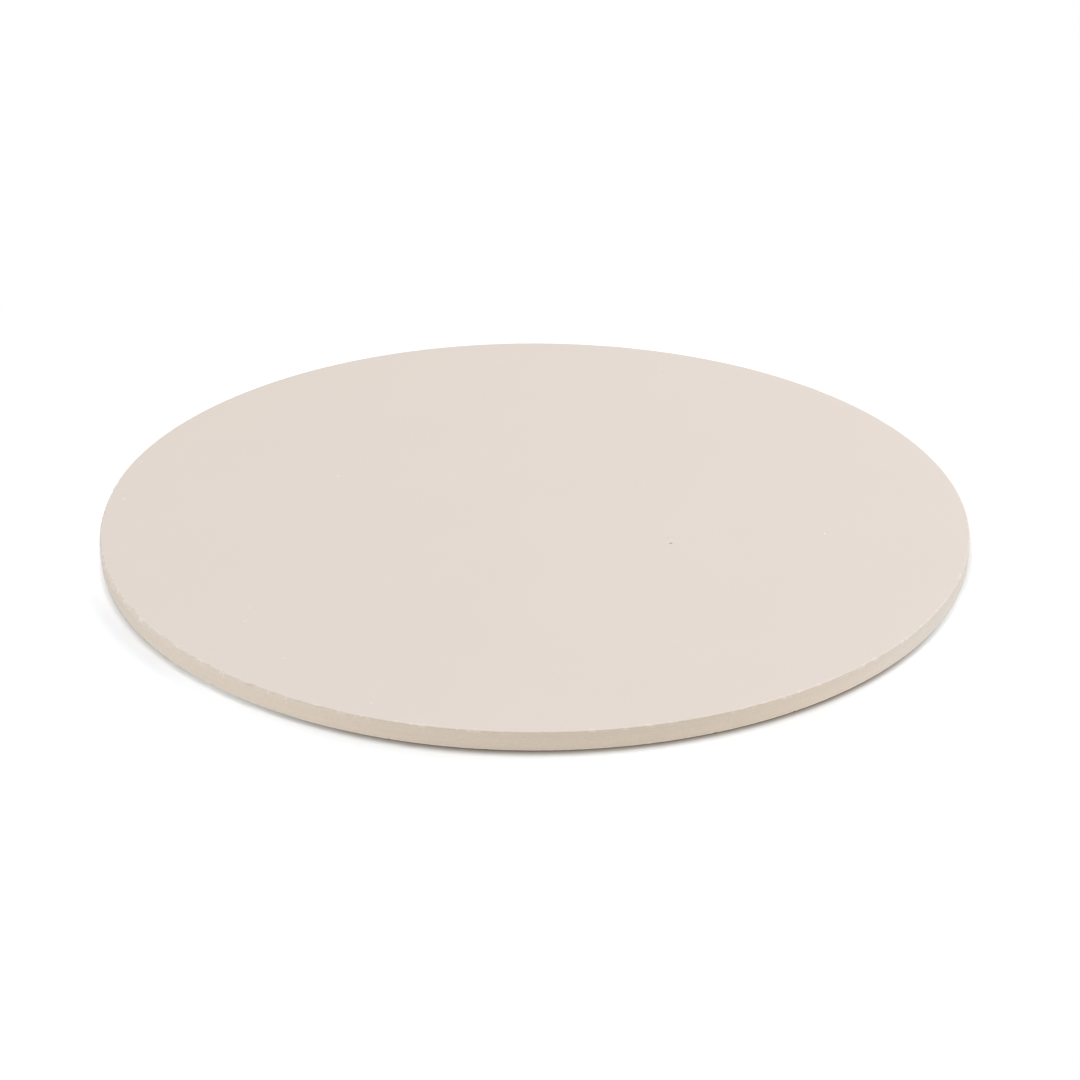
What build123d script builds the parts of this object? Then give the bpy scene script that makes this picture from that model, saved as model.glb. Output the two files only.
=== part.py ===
"""Round pizza stone: one slab of dry-pressed, fired and unglazed cordierite, in millimetres.

The origin is the centre of the underside, on the surface that the stone stands on.
+Z points up through the baking face, and the slab is the same all the way round +Z.
"""

from build123d import *

import os

# Overall sizes of the slab
slab_diameter = 330.0
slab_thickness = 7.0

# Outer band of the baking face, which falls away a little on its way to the rim
fall_width = 8.0
fall_drop = 0.15

# Arrises, only just rubbed before firing, so that both edges stay crisp
baking_arris_radius = 0.3
under_arris_radius = 0.35

# Places that follow from the sizes above
slab_radius = slab_diameter / 2
flat_radius = slab_radius - fall_width
rim_height = slab_thickness - fall_drop


def build_slab():
    """The pressed slab is turned from its half section, and its two rims are then rubbed round."""
    with BuildPart() as slab:
        with BuildSketch(Plane.XZ):
            with BuildLine():
                Polyline((0, slab_thickness), (0, 0), (slab_radius, 0), (slab_radius, rim_height))
                baking_face = Line((0, slab_thickness), (flat_radius, slab_thickness))
                TangentArc(
                    baking_face @ 1,
                    (slab_radius, rim_height),
                    tangent=baking_face % 1,
                )
            make_face()
        revolve(axis=Axis.Z)
        fillet(slab.edges().filter_by(GeomType.CIRCLE).sort_by(Axis.Z)[0], radius=under_arris_radius)
        wall = slab.faces().filter_by(GeomType.CYLINDER)[0]
        fillet(wall.edges().sort_by(Axis.Z)[-1], radius=baking_arris_radius)
    slab.part.label = "stone_slab"
    return slab


stone_slab = build_slab()

os.makedirs("parts", exist_ok=True)
export_step(stone_slab.part, "parts/stone_slab.step")
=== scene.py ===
"""A round pizza stone of unglazed cordierite, lying on a white sweep. Every size is in metres."""

import math
import random

import bmesh
import bpy
from mathutils import Euler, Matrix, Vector, noise


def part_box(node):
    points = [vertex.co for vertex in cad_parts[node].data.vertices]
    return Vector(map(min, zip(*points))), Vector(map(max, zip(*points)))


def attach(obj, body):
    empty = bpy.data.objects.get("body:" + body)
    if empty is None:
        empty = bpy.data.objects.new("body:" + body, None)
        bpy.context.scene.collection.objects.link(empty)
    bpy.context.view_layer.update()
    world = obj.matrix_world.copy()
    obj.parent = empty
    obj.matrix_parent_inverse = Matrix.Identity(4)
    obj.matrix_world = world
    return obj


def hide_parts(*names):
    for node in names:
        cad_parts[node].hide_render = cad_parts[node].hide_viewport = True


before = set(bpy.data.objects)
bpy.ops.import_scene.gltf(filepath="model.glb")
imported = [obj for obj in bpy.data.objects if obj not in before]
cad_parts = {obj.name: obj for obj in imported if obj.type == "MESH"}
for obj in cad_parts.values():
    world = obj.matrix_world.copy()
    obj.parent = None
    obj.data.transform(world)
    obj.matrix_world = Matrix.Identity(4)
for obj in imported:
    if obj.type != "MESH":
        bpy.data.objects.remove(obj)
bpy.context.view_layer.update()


# Viewpoint
# A short telephoto lens stands in front of the stone, a little over twice its width away,
# and looks down at it. The stone sits just above the middle of a square picture.

picture_px = 1080.0
focal_px = 1787.0
film_width_mm = 36.0
face_centre_column_px = 534.8
face_centre_row_px = 496.15
sight_fall = math.radians(25.87)
sight_length = 0.6931
horizon_tilt = math.radians(0.056)

slab_low, slab_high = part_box("stone_slab")
face_centre = Vector((0, 0, slab_high.z))
viewpoint = face_centre + sight_length * Vector((0, -math.cos(sight_fall), math.sin(sight_fall)))

lens = bpy.data.cameras.new("viewpoint")
lens.sensor_width = film_width_mm
lens.lens = film_width_mm * focal_px / picture_px
lens.clip_start = 0.01
camera = bpy.data.objects.new("viewpoint", lens)
bpy.context.scene.collection.objects.link(camera)
bpy.context.scene.camera = camera

picture_middle_px = picture_px / 2
turn_down = math.atan((picture_middle_px - face_centre_row_px) / focal_px)
turn_right = math.atan((picture_middle_px - face_centre_column_px) / focal_px)
towards_face = (face_centre - viewpoint).to_track_quat("-Z", "Y").to_matrix()
camera.location = viewpoint
camera.rotation_euler = (
    towards_face
    @ Euler((0, -turn_right, 0)).to_matrix()
    @ Euler((-turn_down, 0, 0)).to_matrix()
    @ Euler((0, 0, horizon_tilt)).to_matrix()
).to_euler()


# Stone slab
# One round slab of cordierite, pressed dry in a die, rubbed smooth along its two rims by hand
# and fired without a glaze. It lies loose on what it stands on, held by its own weight.

slab_radius = max(slab_high.x, slab_high.y)
slab_thickness = slab_high.z
fall_width = 0.008
fall_drop = 0.00015
baking_arris = 0.00022
under_arris = 0.00015
rim_height = slab_thickness - fall_drop
arris_steps = 6
turn_steps = 2160
weld = 1e-6


def choose_points(test):
    """Selects the points of the piece being edited whose place passes the test."""
    shape = bmesh.from_edit_mesh(bpy.context.object.data)
    for point in shape.verts:
        point.select_set(test(point.co))
    shape.select_flush_mode()
    bmesh.update_edit_mesh(bpy.context.object.data)


def near(place, x, z, reach=1e-5):
    """Whether a point of the half section lies at that distance from the axis and that height."""
    return math.hypot(place.x - x, place.z - z) < reach


bpy.ops.object.select_all(action="DESELECT")
bpy.ops.mesh.primitive_plane_add(
    size=1,
    location=(slab_radius / 2, 0, slab_thickness / 2),
    rotation=(math.pi / 2, 0, 0),
)
slab = bpy.context.object
slab.name = slab.data.name = "pressed_slab"
slab.scale = (slab_radius, slab_thickness, 1)
bpy.ops.object.transform_apply(location=True, rotation=True, scale=True)

# The half section: the face gets its fall towards the rim, and the two corners become arrises.
bpy.ops.object.mode_set(mode="EDIT")
bpy.ops.mesh.select_mode(type="VERT")
choose_points(lambda place: near(place, slab_radius, slab_thickness))
bpy.ops.transform.translate(value=(0, 0, -fall_drop))
choose_points(lambda place: place.z > slab_thickness / 2)
bpy.ops.mesh.subdivide(number_cuts=1)
choose_points(lambda place: near(place, slab_radius / 2, slab_thickness, fall_drop))
bpy.ops.transform.translate(value=((slab_radius - fall_width) / 2, 0, fall_drop / 2))
choose_points(lambda place: near(place, slab_radius - fall_width / 2, slab_thickness))
bpy.ops.mesh.bevel(offset=fall_width / 2 - baking_arris, segments=arris_steps, affect="VERTICES")
choose_points(lambda place: near(place, slab_radius, rim_height))
bpy.ops.mesh.bevel(offset=baking_arris, segments=arris_steps, affect="VERTICES")
choose_points(lambda place: near(place, slab_radius, 0))
bpy.ops.mesh.bevel(offset=under_arris, segments=arris_steps, affect="VERTICES")

# The long lines of the section are cut into lengths, so that the turned surface can be rubbed and crumble.
bpy.ops.mesh.select_all(action="SELECT")
bpy.ops.mesh.remove_doubles(threshold=1e-5)
rim_line_middle = slab_radius - 0.0010
rim_line_half = 0.0008
flat_end = slab_radius - fall_width + baking_arris + 1e-5
for cuts, on_line in (
    (5, lambda place: place.z > rim_height - weld and abs(rim_line_middle - place.x) < rim_line_half),
    (2, lambda place: place.z > rim_height and place.x < flat_end),
    (8, lambda place: place.x > slab_radius - weld),
    (2, lambda place: place.z < weld),
):
    choose_points(on_line)
    bpy.ops.mesh.subdivide(number_cuts=cuts)

# The section is turned once round the axis, and the seam and both middles are closed.
bpy.ops.mesh.select_all(action="SELECT")
bpy.ops.mesh.delete(type="ONLY_FACE")
choose_points(lambda place: place.x < weld)
bpy.ops.mesh.select_mode(type="EDGE")
bpy.ops.mesh.delete(type="EDGE")
bpy.ops.object.mode_set(mode="OBJECT")
turning = slab.modifiers.new("turning", "SCREW")
turning.steps = turning.render_steps = turn_steps
turning.use_merge_vertices = True
turning.merge_threshold = weld
bpy.ops.object.modifier_apply(modifier="turning")
bpy.ops.object.mode_set(mode="EDIT")
bpy.ops.mesh.select_mode(type="VERT")
bpy.ops.mesh.select_all(action="SELECT")
bpy.ops.mesh.remove_doubles(threshold=weld)
bpy.ops.mesh.normals_make_consistent(inside=False)
bpy.ops.object.mode_set(mode="OBJECT")

# Rubbing takes a little off both arrises, unevenly.


def rub(corner_height, reach, depth, lump_size):
    """Moves points within reach of a corner of the rim in towards the body, by up to depth, in lumps."""
    up_or_down = 1 if corner_height < slab_thickness / 2 else -1
    for point in slab.data.vertices:
        outwards = Vector((point.co.x, point.co.y, 0))
        from_rim = slab_radius - outwards.length
        share = 1 - math.hypot(from_rim, point.co.z - corner_height) / reach
        if share > 0:
            lumps = max(0.0, 0.5 + 0.5 * noise.fractal(point.co / lump_size, 1.0, 2.0, 3))
            inwards = Vector((0, 0, up_or_down)) - outwards.normalized()
            point.co += inwards * (depth * share * lumps)


rub(rim_height, reach=0.0006, depth=0.00008, lump_size=0.0016)
rub(0, reach=0.0005, depth=0.00005, lump_size=0.0020)

# Along a stretch at the front left the upper arris has crumbled away to a steep and uneven bevel.
crumbled_middle = math.radians(212)
crumbled_half_width = math.radians(40)
crumbled_width = 0.0011
crumbled_height = 0.0015
crumb_size = 0.0027
for point in slab.data.vertices:
    azimuth = math.atan2(point.co.y, point.co.x)
    away = abs((azimuth - crumbled_middle + math.pi) % math.tau - math.pi)
    outwards = Vector((math.cos(azimuth), math.sin(azimuth), 0))
    unevenness = 0.80 + 0.6 * noise.fractal(outwards * slab_radius / crumb_size, 1.0, 2.0, 2)
    fading = math.cos(min(1.0, away / crumbled_half_width) * math.pi / 2) ** 0.5
    crumbled_share = fading * max(0.0, unevenness)
    bevel_width = max(weld, crumbled_width * crumbled_share)
    bevel_height = max(weld, crumbled_height * crumbled_share)
    into_rim = slab_radius - math.hypot(point.co.x, point.co.y)
    outside_bevel = 1 - into_rim / bevel_width - (rim_height - point.co.z) / bevel_height
    if outside_bevel > 0:
        point.co += (Vector((0, 0, -1)) - outwards) * (outside_bevel / (1 / bevel_width + 1 / bevel_height))

# Nicks along the arrises, and pits and scuffs in the face, are small bites out of the pressed body.
nick_random = random.Random(12)
bite_roughness = 0.00006
bites = []


def bite(place, half_sizes, turn=0.0):
    """A rough lump whose overlap with the slab is bitten out of it."""
    bpy.ops.object.select_all(action="DESELECT")
    bpy.ops.mesh.primitive_ico_sphere_add(
        subdivisions=2,
        radius=1,
        location=place,
        rotation=(0, 0, turn),
        scale=half_sizes,
    )
    bites.append(bpy.context.object)


def nick(azimuth, corner_height, outward_rise, half_length, depth):
    """A nick in an arris, longer along the rim than across it."""
    cross = half_length * nick_random.uniform(0.55, 0.8)
    out = cross - depth
    reach = slab_radius + out * math.cos(outward_rise)
    place = (
        reach * math.cos(azimuth),
        reach * math.sin(azimuth),
        corner_height + out * math.sin(outward_rise),
    )
    bite(place, (cross, half_length, cross), azimuth)


for nicks, corner_height, outward_rise, half_lengths, depths in (
    (70, rim_height, math.pi / 4, (0.0004, 0.0008), (0.00014, 0.00030)),
    (16, 0, -math.pi / 4, (0.0004, 0.0007), (0.0003, 0.0004)),
):
    for k in range(nicks):
        azimuth = math.tau * (k + nick_random.uniform(0.1, 0.9)) / nicks
        half_length = nick_random.uniform(*half_lengths)
        nick(azimuth, corner_height, outward_rise, half_length, nick_random.uniform(*depths))

# Each mark's place in the face is in shares of the slab's radius. Then comes its size, in shares of the
# half width of a plain mark of its kind and, for the pits, of the depth of a plain one.
pit_half_width = 0.0005
pit_depth = 0.0002
pit_shares = (
    (0.303, -0.239, 1.5, 2.75),
    (0.298, -0.211, 1.4, 0.90),
    (0.351, 0.780, 1.0, 1.00),
    (0.654, -0.194, 1.0, 0.85),
    (-0.960, 0.184, 1.2, 1.25),
)
scuff_half_width = 0.0020
scuff_lump_height = 0.00030
scuff_lump_rise = 0.00022
scuff_shares = (
    (0.347, 0.806, 0.60),
    (0.344, 0.754, 0.60),
    (0.302, -0.225, 0.50),
    (-0.595, -0.589, 1.00),
    (-0.593, -0.535, 0.75),
    (-0.473, 0.111, 0.80),
    (-0.310, -0.900, 0.75),
    (-0.100, 0.855, 0.70),
    (-0.495, -0.735, 0.70),
    (-0.962, -0.017, 1.10),
)
for across, along, width_share, depth_share in pit_shares:
    half_width = pit_half_width * width_share
    bite(
        (across * slab_radius, along * slab_radius, slab_thickness),
        (half_width, half_width * 0.75, pit_depth * depth_share),
        nick_random.uniform(0, math.pi),
    )
for across, along, width_share in scuff_shares:
    half_width = scuff_half_width * width_share
    bite(
        (across * slab_radius, along * slab_radius, slab_thickness + scuff_lump_rise),
        (half_width, half_width * 0.65, scuff_lump_height),
        nick_random.uniform(0, math.pi),
    )

bpy.ops.object.select_all(action="DESELECT")
for lump in bites:
    lump.select_set(True)
bpy.context.view_layer.objects.active = bites[0]
bpy.ops.object.join()
bitten = bpy.context.object
bpy.ops.object.mode_set(mode="EDIT")
bpy.ops.mesh.select_all(action="SELECT")
bpy.ops.transform.vertex_random(offset=bite_roughness, uniform=0.5, seed=4)
bpy.ops.object.mode_set(mode="OBJECT")
bpy.ops.object.select_all(action="DESELECT")
slab.select_set(True)
bpy.context.view_layer.objects.active = slab
biting = slab.modifiers.new("biting", "BOOLEAN")
biting.object = bitten
biting.solver = "EXACT"
bpy.ops.object.modifier_apply(modifier="biting")
bpy.data.objects.remove(bitten)
bpy.ops.object.shade_smooth_by_angle(angle=math.radians(35))

# The marks in the face keep sharp borders, so that the flat face round them stays flat in its shading.


marks_end = slab_radius - 0.0025
least_mark_depth = 4e-6


def pressed_height(distance):
    """How high the face was pressed at that distance from the axis."""
    fall_share = max(0.0, 1 - (slab_radius - distance) / fall_width)
    return slab_thickness - fall_drop * fall_share**2


bpy.ops.object.mode_set(mode="EDIT")
bpy.ops.mesh.select_mode(type="FACE")
bpy.ops.mesh.select_all(action="DESELECT")
bitten_shape = bmesh.from_edit_mesh(slab.data)
for patch in bitten_shape.faces:
    patch_middle = patch.calc_center_median()
    distance = math.hypot(patch_middle.x, patch_middle.y)
    in_baking_face = distance < marks_end and patch_middle.z > slab_thickness / 2
    patch.select_set(in_baking_face and patch_middle.z < pressed_height(distance) - least_mark_depth)
bmesh.update_edit_mesh(slab.data)
bpy.ops.mesh.region_to_loop()
bpy.ops.mesh.mark_sharp()
bpy.ops.object.mode_set(mode="OBJECT")


# The finish: bare fired clay, a little warmer on the wall, and paler along the lower arris, partly where it
# is rubbed and partly as a painted highlight.
# The far left of the face is painted a little warmer, and the right of the wall greyer: painted light,
# standing in for cooler light that falls from the right.
face_clay = (0.790, 0.702, 0.638, 1)
painted_warm_light_clay = (0.785, 0.697, 0.622, 1)
wall_clay = (0.815, 0.695, 0.578, 1)
painted_cool_light_wall_clay = (0.800, 0.712, 0.640, 1)
painted_edge_shade_clay = (0.735, 0.635, 0.535, 1)
rubbed_and_highlight_clay = (0.990, 0.900, 0.805, 1)
under_clay = (0.730, 0.665, 0.595, 1)
painted_pit_shade_clay = (0.420, 0.370, 0.320, 1)
scuff_clay = (0.870, 0.790, 0.710, 1)


class Value:
    """One output among a finish's nodes. Sums, differences and products of values add Math nodes."""

    def __init__(self, socket):
        self.socket = socket

    def node(self, kind, settings, sockets, output=0):
        """Adds a node, makes its settings, and then gives its sockets their values or links."""
        tree = self.socket.id_data
        made = tree.nodes.new(kind)
        for name, setting in settings.items():
            setattr(made, name, setting)
        for name, given in sockets.items():
            if isinstance(given, Value):
                tree.links.new(given.socket, made.inputs[name])
            else:
                made.inputs[name].default_value = given
        return Value(made.outputs[output])

    def sum_of(self, operation, first, second):
        """A Math node's result from two values."""
        return self.node("ShaderNodeMath", {"operation": operation}, {0: first, 1: second})

    def __add__(self, other):
        return self.sum_of("ADD", self, other)

    __radd__ = __add__

    def __sub__(self, other):
        return self.sum_of("SUBTRACT", self, other)

    def __rsub__(self, other):
        return self.sum_of("SUBTRACT", other, self)

    def __mul__(self, other):
        return self.sum_of("MULTIPLY", self, other)

    __rmul__ = __mul__

    def __truediv__(self, other):
        return self.sum_of("DIVIDE", self, other)

    def rising(self, low, high):
        """0 below low and 1 above high, with a smooth step between them."""
        return self.node(
            "ShaderNodeMapRange",
            {"interpolation_type": "SMOOTHSTEP"},
            {"Value": self, "From Min": low, "From Max": high},
        )

    def ramp(self, low, high):
        """0 below low and 1 above high, in a straight line between them."""
        return self.node("ShaderNodeMapRange", {}, {"Value": self, "From Min": low, "From Max": high})

    def along(self, direction):
        """How far this place lies in a direction."""
        return self.node(
            "ShaderNodeVectorMath",
            {"operation": "DOT_PRODUCT"},
            {0: self, 1: direction},
            "Value",
        )

    def stretched(self, stretch):
        """This place with its three coordinates multiplied by those of stretch."""
        return self.node("ShaderNodeVectorMath", {"operation": "MULTIPLY"}, {0: self, 1: stretch})

    def lumps(self, size, detail=2.0):
        """Noise about 0.5 at this place, in lumps of that size in metres."""
        return self.node(
            "ShaderNodeTexNoise",
            {"noise_dimensions": "3D"},
            {"Vector": self, "Scale": 1 / size, "Detail": detail, "Roughness": 0.55},
        )

    def between(self, low_colour, high_colour):
        """The low colour where this value is 0, and the high one where it is 1."""
        return self.node(
            "ShaderNodeMix",
            {"data_type": "RGBA"},
            {0: self, 6: low_colour, 7: high_colour},
            2,
        )

    def scaled(self, factor):
        """This colour or vector times a value."""
        return self.node("ShaderNodeVectorMath", {"operation": "SCALE"}, {0: self, "Scale": factor})


cordierite = bpy.data.materials.new("cordierite")
cordierite.use_nodes = True
clay_nodes = cordierite.node_tree.nodes
clay = clay_nodes["Principled BSDF"]
place = Value(clay_nodes.new("ShaderNodeTexCoord").outputs["Object"])
height = place.node("ShaderNodeSeparateXYZ", {}, {0: place}, "Z")
from_axis = place.node(
    "ShaderNodeVectorMath",
    {"operation": "LENGTH"},
    {0: place.stretched((1, 1, 0))},
    "Value",
)

# How deep a point lies under the face as it was pressed, with the face's fall towards the rim taken off.
into_fall = from_axis.ramp(slab_radius - fall_width, slab_radius)
depth = (slab_thickness - height) - fall_drop * into_fall * into_fall
inside_rim = 1 - from_axis.rising(slab_radius - 0.0030, slab_radius - 0.0022)
above_middle = height.rising(slab_thickness * 0.45, slab_thickness * 0.55)
pitted = depth.rising(0.00011, 0.00024) * inside_rim * above_middle
scuffed = depth.rising(0.00001, 0.00003) * inside_rim * above_middle

# Where the wall, the two rubbed arrises and the underside are.
on_wall = from_axis.rising(slab_radius - 0.00022, slab_radius - 0.00004)


def from_corner(corner_height):
    """The distance of a point of the section from the upper or lower corner of the rim."""
    out = from_axis - slab_radius
    up = height - corner_height
    return place.node("ShaderNodeMath", {"operation": "SQRT"}, {0: out * out + up * up})


ragged = 0.0007 * place.lumps(0.0017, 3.0)
upper_arris = 1 - (from_corner(rim_height) + ragged).rising(0.00060, 0.00115)
lower_arris = 1 - (from_corner(0) + ragged).rising(0.00050, 0.00095)
flecks = place.lumps(0.0026, 1.0).rising(0.58, 0.64)
flecked = (1 - from_corner(rim_height).rising(0.00070, 0.00120)) * flecks
underneath = 1 - height.rising(0.00010, 0.00040)

# Fired clay is never quite even: slow patches, a fine grain, and faint rings of the die on the wall.
patches = place.lumps(0.045, 2.0)
grain = place.lumps(0.0011, 2.0)
speckle = place.lumps(0.0045, 1.0).rising(0.72, 0.78) * place.lumps(0.0007, 0.0).rising(0.60, 0.72)
rings = place.stretched((1, 1, 70)).lumps(0.030, 3.0)
mottles = place.stretched((1, 1, 1.8)).lumps(0.0010, 2.0)
# The wall is painted lighter towards its foot: painted light, standing in for light thrown up from the floor.
painted_foot_light = 1 - height.rising(0.0, slab_thickness * 0.8)
brightness = (
    1
    + 0.020 * (patches - 0.5)
    + 0.022 * (grain - 0.5)
    + on_wall * (0.100 * (rings - 0.5) + 0.160 * (mottles - 0.5) + 0.05 * painted_foot_light)
    - 0.05 * speckle
)
below_face = depth.rising(0.00002, 0.00009) * (1 - inside_rim)
# Painted light: the face is tinted warmer towards the far left, and the wall greyer towards the right, as if
# lit by cooler light from the right.
painted_light_warmth = place.along((-0.64, 0.77, 0)).ramp(-slab_radius, slab_radius)
painted_cool_light_side = place.along((1, 0, 0)).rising(slab_radius * 0.45, slab_radius * 0.96)
face_colour = painted_light_warmth.between(face_clay, painted_warm_light_clay)
wall_colour = painted_cool_light_side.between(wall_clay, painted_cool_light_wall_clay)
colour = on_wall.between(face_colour, wall_colour)
# The crumbled bevel, the nicks and the upper arris, below the face, are painted darker: painted shade, so
# that the edge reads like the shaded wall.
colour = (below_face * (1 - on_wall)).between(colour, painted_edge_shade_clay)
colour = (below_face * upper_arris * 0.8).between(colour, painted_edge_shade_clay)
colour = (flecked * 0.6).between(colour, scuff_clay)
# The lower arris is painted paler: partly rubbed clay, partly a painted highlight that keeps the foot of the
# wall from darkening.
colour = (lower_arris * 0.95).between(colour, rubbed_and_highlight_clay)
colour = underneath.between(colour, under_clay)
colour = (scuffed * 0.6).between(colour, scuff_clay)
# Deep pits are painted dark by their depth: painted shade in the hollows.
colour = (pitted * 0.8).between(colour, painted_pit_shade_clay)
colour = colour.scaled(brightness)
tree = cordierite.node_tree
tree.links.new(colour.socket, clay.inputs["Base Color"])
roughness = 0.84 + 0.10 * (grain - 0.5) + 0.05 * underneath
tree.links.new(roughness.socket, clay.inputs["Roughness"])
clay.inputs["Specular IOR Level"].default_value = 0.3
pores = place.lumps(0.0008, 3.0)
relief = 0.6 * pores + 0.4 * place.lumps(0.0028, 2.0) + 0.8 * (on_wall * rings)
surface = place.node("ShaderNodeBump", {}, {"Strength": 1.0, "Distance": 0.000010, "Height": relief})
tree.links.new(surface.socket, clay.inputs["Normal"])
slab.data.materials.append(cordierite)

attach(slab, "root")
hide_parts("stone_slab")


# White sweep
# A wide plain sheet of paper that the stone lies on. It takes the stone's shadow. Close round the stone its
# seen colour
# is painted: painted shadow at the front and behind, a thin painted dark line where the stone touches it at
# the front, and painted light at the flanks and on the left. Further off it is simply white.

sweep_size = 8.0
paper = (0.40, 0.40, 0.40, 1)
# Seen colours of the paper close to the stone: painted shadow, a painted dark contact line and painted light.
painted_near_shadow_paper = (0.88, 0.88, 0.88, 1)
painted_flank_light_paper = (1.00, 1.02, 1.03, 1)
open_paper = (1.15, 1.15, 1.15, 1)
painted_left_light_paper = (1.31, 1.33, 1.37, 1)
painted_contact_shadow_paper = (0.27, 0.20, 0.145, 1)
contact_width = 0.0022
shadow_width = 0.016
painted_back_shadow_paper = (0.78, 0.78, 0.78, 1)
behind_width = 0.013
shadow_side = (0.22, -0.975, 0)
shadow_reach = 0.25
white_from = 0.35
bpy.ops.object.select_all(action="DESELECT")
bpy.ops.mesh.primitive_plane_add(size=sweep_size)
sweep = bpy.context.object
sweep.name = sweep.data.name = "white_sweep"
sweep_paper = bpy.data.materials.new("sweep_paper")
sweep_paper.use_nodes = True
paper_nodes = sweep_paper.node_tree.nodes
paper_nodes.clear()
on_sweep = Value(paper_nodes.new("ShaderNodeTexCoord").outputs["Object"])


def seen_directly(value):
    """1 for what is seen, also in a mirror or through glass, and 0 for light on its way elsewhere."""
    rays = {
        name: value.node("ShaderNodeLightPath", {}, {}, name)
        for name in ("Is Camera Ray", "Is Glossy Ray", "Is Transmission Ray")
    }
    return value.sum_of(
        "MAXIMUM",
        rays["Is Camera Ray"],
        value.sum_of("MAXIMUM", rays["Is Glossy Ray"], rays["Is Transmission Ray"]),
    )


# The paper is seen lighter than it lights the stone. Near the stone its seen colour carries painted shadow
# where the stone's shadow falls, and painted light at the flanks and on the left.
seen = seen_directly(on_sweep)
from_stone = on_sweep.node("ShaderNodeVectorMath", {"operation": "LENGTH"}, {0: on_sweep}, "Value")
off_rim = from_stone - slab_radius
on_shadow_side = on_sweep.along(shadow_side) / from_stone
on_left_side = on_sweep.along((-1, 0, 0)) / from_stone
cleared = 1 - on_shadow_side.rising(-0.15, 0.35) * (1 - off_rim.ramp(0.0, shadow_width))
# A thin painted dark line where the stone touches the paper at the front: painted contact shadow.
touching = on_shadow_side.rising(0.59, 0.95) * (1 - off_rim.ramp(0.0, contact_width))
clear_paper = on_left_side.rising(0.2, 0.9).between(open_paper, painted_left_light_paper)
on_flanks = on_shadow_side.rising(0.45, 0.65) * (1 - on_shadow_side.rising(0.70, 0.95))
painted_rim_light_and_shade = on_flanks.between(painted_near_shadow_paper, painted_flank_light_paper)
seen_paper = touching.between(cleared.between(painted_rim_light_and_shade, clear_paper), painted_contact_shadow_paper)
# For a short way behind the stone the paper is painted darker: painted shadow.
behind = (-1 * on_shadow_side).rising(0.30, 0.80) * (1 - off_rim.ramp(0.0, behind_width))
seen_paper = behind.between(seen_paper, painted_back_shadow_paper)
matt = on_sweep.node("ShaderNodeBsdfDiffuse", {}, {"Color": seen.between(paper, seen_paper)})
white = on_sweep.node("ShaderNodeEmission", {}, {"Color": (1, 1, 1, 1), "Strength": 1.0})
faded = seen * from_stone.rising(shadow_reach, white_from)
sheet = on_sweep.node("ShaderNodeMixShader", {}, {0: faded, 1: matt, 2: white})
paper_output = paper_nodes.new("ShaderNodeOutputMaterial")
sweep_paper.node_tree.links.new(sheet.socket, paper_output.inputs["Surface"])
sweep.data.materials.append(sweep_paper)


# Studio light
# A soft box hangs high behind the stone, and another stands in front and looks down on it. Two stand low
# at the sides, and a small one stands near on the right. The room is only seen, as white, and lights nothing.

scene = bpy.context.scene
scene.view_settings.view_transform = "Standard"
studio = bpy.data.worlds.new("studio")
studio.use_nodes = True
scene.world = studio
room = studio.node_tree.nodes["Background"]
room_seen = seen_directly(Value(room.inputs["Color"]))
studio.node_tree.links.new(room_seen.socket, room.inputs["Strength"])
room.inputs["Color"].default_value = (1, 1, 1, 1)


def soft_box(name, location, width, depth, watts, tint=(1, 1, 1)):
    """A flat lamp of that width and depth, aimed at the middle of the stone."""
    lamp = bpy.data.lights.new(name, "AREA")
    lamp.shape = "RECTANGLE"
    lamp.size = width
    lamp.size_y = depth
    lamp.energy = watts
    lamp.color = tint
    box = bpy.data.objects.new(name, lamp)
    scene.collection.objects.link(box)
    box.location = location
    box.rotation_euler = (-box.location).to_track_quat("-Z", "Y").to_euler()


soft_box("overhead", (0, 2.00, 5.00), 2.65, 1.36, 157)
soft_box("raised_front", (0, -4.40, 2.20), 3.50, 1.10, 139, (1, 0.993, 0.965))
soft_box("low_left", (-4.80, 0, 0.77), 3.50, 1.10, 124, (0.83, 0.905, 1.0))
soft_box("low_right", (4.78, 0.42, 0.77), 3.50, 1.10, 86, (0.88, 0.94, 1.0))
soft_box("near_right", (1.75, 0.30, 1.00), 0.90, 0.90, 12.5, (0.92, 0.96, 1.0))
